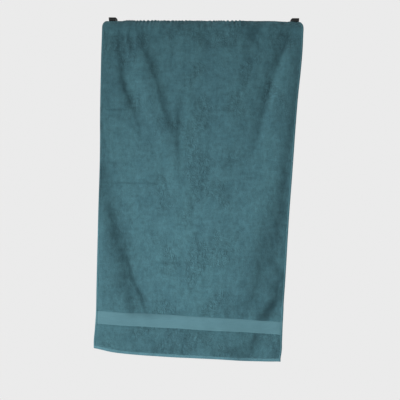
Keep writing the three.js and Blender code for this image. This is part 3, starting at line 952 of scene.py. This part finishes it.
def arm_line(up):
    """Points a millimetre apart along an arm's middle line, with rounded corners, and their normals."""
    corners = np.array(ARM_LINE, float)
    corners[0, 0] += 0 if up > 0 else LOWER_TIP_BACK
    reach = np.concatenate([[0], np.cumsum(np.linalg.norm(np.diff(corners, axis=0), axis=1))])
    dense = np.arange(0, reach[-1], 1.0)
    line = np.stack([np.interp(dense, reach, corners[:, k]) for k in (0, 1)], axis=1)
    spread = 4
    before = line[0] - (line[1] - line[0]) * np.arange(spread, 0, -1)[:, None]
    after = line[-1] + (line[-1] - line[-2]) * np.arange(1, spread + 1)[:, None]
    padded = np.concatenate([before, line, after])
    line = np.stack([np.convolve(padded[:, k], np.ones(2 * spread + 1) / (2 * spread + 1), "valid")
                     for k in (0, 1)], axis=1) * MM
    ahead = np.gradient(line, axis=0)
    ahead /= np.linalg.norm(ahead, axis=1, keepdims=True)
    return line, np.stack([-ahead[:, 1], ahead[:, 0]], axis=1), dense * MM


def arm_section(half_width, half_thickness, radius):
    """A rounded rectangle as (x, n) points, n being along the arm's outward normal."""
    section = []
    for sx, sn, start in ((1, 1, 0), (-1, 1, 90), (-1, -1, 180), (1, -1, 270)):
        for turn in np.radians(start + np.array([0, 30, 60, 90])):
            section.append((sx * (half_width - radius) + radius * math.cos(turn),
                            sn * (half_thickness - radius) + radius * math.sin(turn)))
    return np.array(section)


def arm_rings(up, side):
    """The rings of an arm: flared inwards and thinned at the jaw, ribbed on the handle, round-ended."""
    line, normals, reach = arm_line(up)
    from_end = np.minimum(reach, reach[-1] - reach)
    rings = []
    for (y, z), (ny, nz), s, gap in zip(line, normals, reach, from_end):
        inset = ARM_ROUNDING * (1 - float(shoulder(gap, ARM_ROUNDING)))
        taper = HANDLE_TAPER * float(smoothstep(reach[-1] - 50 * MM, reach[-1], s))
        section = arm_section(CLAMP_WIDTH / 2 - inset - taper, ARM_THICKNESS / 2 - inset, ARM_EDGE)
        jaw = 1 - float(smoothstep(26 * MM, 40 * MM, s))
        inward = (section[:, 0] * -side > 0) * jaw * JAW_FLARE * (0.5 - section[:, 1] / ARM_THICKNESS)
        ribbed = float(plateau(-42 * MM, -38 * MM, -8 * MM, -5 * MM, s - reach[-1]))
        rib = RIB_HEIGHT * ribbed * (0.5 + 0.5 * math.cos(2 * math.pi * s / RIB_PITCH))
        x = section[:, 0] - side * inward
        n = section[:, 1] + (section[:, 1] > 0) * (rib - jaw * JAW_THINNING * section[:, 1])
        rings.append(np.stack([x, y + ny * n, up * (z + nz * n)], axis=1))
    return rings if up > 0 else [ring[::-1] for ring in rings]


def ring(x, y, z, radius_y, radius_z, count):
    """A ring of points round an axis along x."""
    turn = np.linspace(0, 2 * math.pi, count, endpoint=False)
    return np.stack([np.full(count, x), y + radius_y * np.cos(turn), z + radius_z * np.sin(turn)], axis=1)


def ear_object(name, x, up):
    """A flat plate round the pivot pin with a bore in it, joined to its arm above."""
    count = 72
    turn = np.linspace(0, 2 * math.pi, count, endpoint=False)
    sine, cosine = np.sin(turn), np.cos(turn)
    web = np.minimum(WEB_HALF_WIDTH / np.maximum(np.abs(cosine), 1e-3),
                     WEB_HEIGHT / np.maximum(sine, 1e-3))
    outside = np.where(sine > 0, np.maximum(EAR_RADIUS, web), EAR_RADIUS) * MM
    bore = np.full(count, BORE_RADIUS)
    half, edge = EAR_THICKNESS / 2, 0.4 * MM
    profile = [(bore, -half), (outside - edge, -half), (outside, edge - half), (outside, half - edge),
               (outside - edge, half), (bore, half)]
    rings = [ring(x + dx, PIVOT.y, PIVOT.z, r, up * r, count) for r, dx in profile]
    faces = tube_faces(len(rings), count)
    last = (len(rings) - 1) * count
    faces += [(last + c, last + (c + 1) % count, (c + 1) % count, c) for c in range(count)]
    return new_object(name, np.concatenate(rings), faces)


def tip_bar(name):
    """The raised line that runs across the front of the upper jaw."""
    y, z = ARM_LINE[0][0] * MM, ARM_LINE[0][1] * MM
    half = CLAMP_WIDTH / 2 - 1.5 * MM
    return rings_object(name, [ring(x, y, z, 0.9 * MM, 0.8 * MM, 12) for x in (-half, half)])


def pin_object(name):
    """The pivot pin, with a low domed head on each end."""
    half = CLAMP_WIDTH / 2 + 0.3 * MM
    profile = [(0.2, 1.4), (1.6, 1.35), (3.0, 1.05), (3.9, 0.6), (4.2, 0.2), (4.2, 0), (2.5, 0)]
    left = [(-half - h * MM, r * MM) for r, h in profile]
    both = left + [(-x, r) for x, r in reversed(left)]
    return rings_object(name, [ring(x, PIVOT.y, PIVOT.z, r, r, 32) for x, r in both])


def spring_path():
    """The middle of the spring's wire: a leg to the upper handle, the coil, a leg to the lower handle."""
    turn = np.linspace(0, 2 * math.pi * COIL_TURNS, 130)
    coil = np.stack([(turn / turn[-1] - 0.5) * COIL_WIDTH, -COIL_RADIUS * np.sin(turn),
                     COIL_RADIUS * np.cos(turn)], axis=1)
    reach = np.linspace(LEG_REACH, 3 * MM, 14)
    leg = np.stack([np.zeros(14), reach, COIL_RADIUS + LEG_RISE * reach], axis=1)
    first = leg + [coil[0, 0], 0, 0]
    last = (leg * [1, 1, -1] + [coil[-1, 0], 0, 0])[::-1]
    return np.concatenate([first, coil, last]) + np.array(PIVOT) * [0, 1, 1]


def spring_object(name):
    path = spring_path()
    ahead = np.gradient(path, axis=0)
    ahead /= np.linalg.norm(ahead, axis=1, keepdims=True)
    aside = np.cross(ahead, [1, 0, 0])
    aside /= np.linalg.norm(aside, axis=1, keepdims=True)
    over = np.cross(ahead, aside)
    turn = np.linspace(0, 2 * math.pi, 12, endpoint=False)[:, None]
    rings = [p + WIRE_RADIUS * (np.cos(turn) * a + np.sin(turn) * o) for p, a, o in zip(path, aside, over)]
    return rings_object(name, rings)


def place_part(parts, x, material, node, body, bend=None):
    """Joins shapes built about x = 0 into one piece, out at its clamp, and puts it in the frame."""
    obj = join_objects(parts)
    obj.data.transform(Matrix.Translation((x, 0, 0)))
    outward_faces(obj)
    finish_piece(obj, material, [node], body, bend)


def join_objects(parts):
    whole = bmesh.new()
    for part in parts:
        whole.from_mesh(part.data)
    whole.to_mesh(parts[0].data)
    whole.free()
    for part in parts[1:]:
        bpy.data.objects.remove(part)
    parts[0].data.polygons.foreach_set("use_smooth", [True] * len(parts[0].data.polygons))
    return parts[0]


def outward_faces(obj):
    """Turns every closed shell's faces outwards, and keeps its sharp corners crisp."""
    mesh = bmesh.new()
    mesh.from_mesh(obj.data)
    bmesh.ops.recalc_face_normals(mesh, faces=mesh.faces)
    for edge in mesh.edges:
        edge.smooth = edge.calc_face_angle(0) < math.radians(38)
    mesh.to_mesh(obj.data)
    mesh.free()


def build_clamps():
    nylon, rubber, steel = nylon_look(), rubber_look(), steel_look()
    for label, side in (("left", -1), ("right", 1)):
        x = side * abs(PIVOT.x)
        jaw = f"{label}_lower_jaw"
        arms = (1, "upper", UPPER_EAR_X, "rail_wrap"), (-1, "lower", LOWER_EAR_X, jaw)
        for up, level, ear_x, body in arms:
            name = f"{label}_{level}_clamp_arm"
            parts = [rings_object(name, arm_rings(up, side))]
            parts += [ear_object(f"{name}_ear", sign * ear_x, up) for sign in (-1, 1)]
            parts += [tip_bar(f"{name}_tip")] if up > 0 else []
            place_part(parts, x, nylon, f"{label}_{level}_arm", body)
            pad = frame["nodes"][f"{label}_{level}_pad"]
            pad.data.materials.clear()
            pad.data.materials.append(rubber)
            pad.modifiers.new("soft_edges", "BEVEL").width = 0.5 * MM
        pin, spring = pin_object(f"{label}_clamp_pin"), spring_object(f"{label}_clamp_spring")
        place_part([pin], x, steel, f"{label}_pivot_pin", "rail_wrap")
        coil = Vector((x, PIVOT.y, COIL_RADIUS)), Vector((x, PIVOT.y, -COIL_RADIUS))
        place_part([spring], x, steel, f"{label}_torsion_spring", jaw, coil)


# ---- floor, light and camera ----

FLOOR_RADIUS = 2.0
FLOOR_DROP = 0.76
VIEW_WIDTH = 1376 * MM
VIEW_DISTANCE = 2.97
VIEW_X, VIEW_Z = -11 * MM, -588.5 * MM
VIEW_ROLL = math.radians(-0.25)


def build_stage():
    """A pale round floor under the towel, low enough to stay out of the front view."""
    place = (0, 0, CAD_BOX[0].z - FLOOR_DROP)
    bpy.ops.mesh.primitive_circle_add(vertices=128, radius=FLOOR_RADIUS, fill_type="NGON", location=place)
    floor = bpy.context.active_object
    floor.name = "floor"
    look = Look("pale_floor", (0.82, 0.82, 0.83), 0.8)
    floor.data.materials.append(look.material)


def area_light(name, place, target, size, energy, spread=180):
    data = bpy.data.lights.new(name, "AREA")
    data.shape = "RECTANGLE"
    data.size, data.size_y = size
    data.energy = energy
    data.spread = math.radians(spread)
    light = bpy.data.objects.new(name, data)
    light.location = place
    light.rotation_mode = "QUATERNION"
    light.rotation_quaternion = (Vector(target) - Vector(place)).to_track_quat("-Z", "Y")
    bpy.context.scene.collection.objects.link(light)


def build_lights():
    """A surround pale low down, dark higher up and bright overhead, and a soft light on each side."""
    world = bpy.data.worlds.new("pale_studio")
    world.use_nodes = True
    nodes, links = world.node_tree.nodes, world.node_tree.links
    direction = nodes.new("ShaderNodeSeparateXYZ")
    links.new(nodes.new("ShaderNodeTexCoord").outputs["Generated"], direction.inputs[0])
    ramp = nodes.new("ShaderNodeValToRGB")
    links.new(direction.outputs["Z"], ramp.inputs[0])
    set_stops(ramp.color_ramp.elements,
              [(0.25, 0.83), (0.55, (0.16, 0.16, 0.165)), (0.82, 0.16), (0.93, 2.2)])
    links.new(ramp.outputs[0], nodes["Background"].inputs["Color"])
    bpy.context.scene.world = world
    area_light("front_softbox", (-3.8, -2.5, -1.35), (0.10, 0, -0.80), (0.7, 0.7), 15, spread=34)
    area_light("back_softbox", (2.6, 3.0, 0.4), (0, 0, -0.5), (1.4, 1.4), 30, spread=90)


def build_camera():
    """Level with the middle of the towel and straight in front of it."""
    data = bpy.data.cameras.new("camera")
    data.sensor_width = 36
    data.lens = data.sensor_width * VIEW_DISTANCE / VIEW_WIDTH
    camera = bpy.data.objects.new("camera", data)
    camera.location = (VIEW_X, HINGE.y - VIEW_DISTANCE, VIEW_Z)
    camera.rotation_euler = (math.radians(90), VIEW_ROLL, 0)
    bpy.context.scene.collection.objects.link(camera)
    bpy.context.scene.camera = camera
    bpy.context.scene.view_settings.view_transform = "Standard"


LOOKS = {"terry": terry_look(), "dobby": dobby_look(), "hem": hem_look("hem_weave", HEM_COLOR),
         "side_hem": hem_look("side_hem_weave", SIDE_HEM_COLOR, DOBBY_COLOR), "thread": thread_look()}
build_camera()
build_zones(LOOKS)
build_side_hems(LOOKS)
build_stitches(LOOKS)
build_clamps()
build_stage()
build_lights()
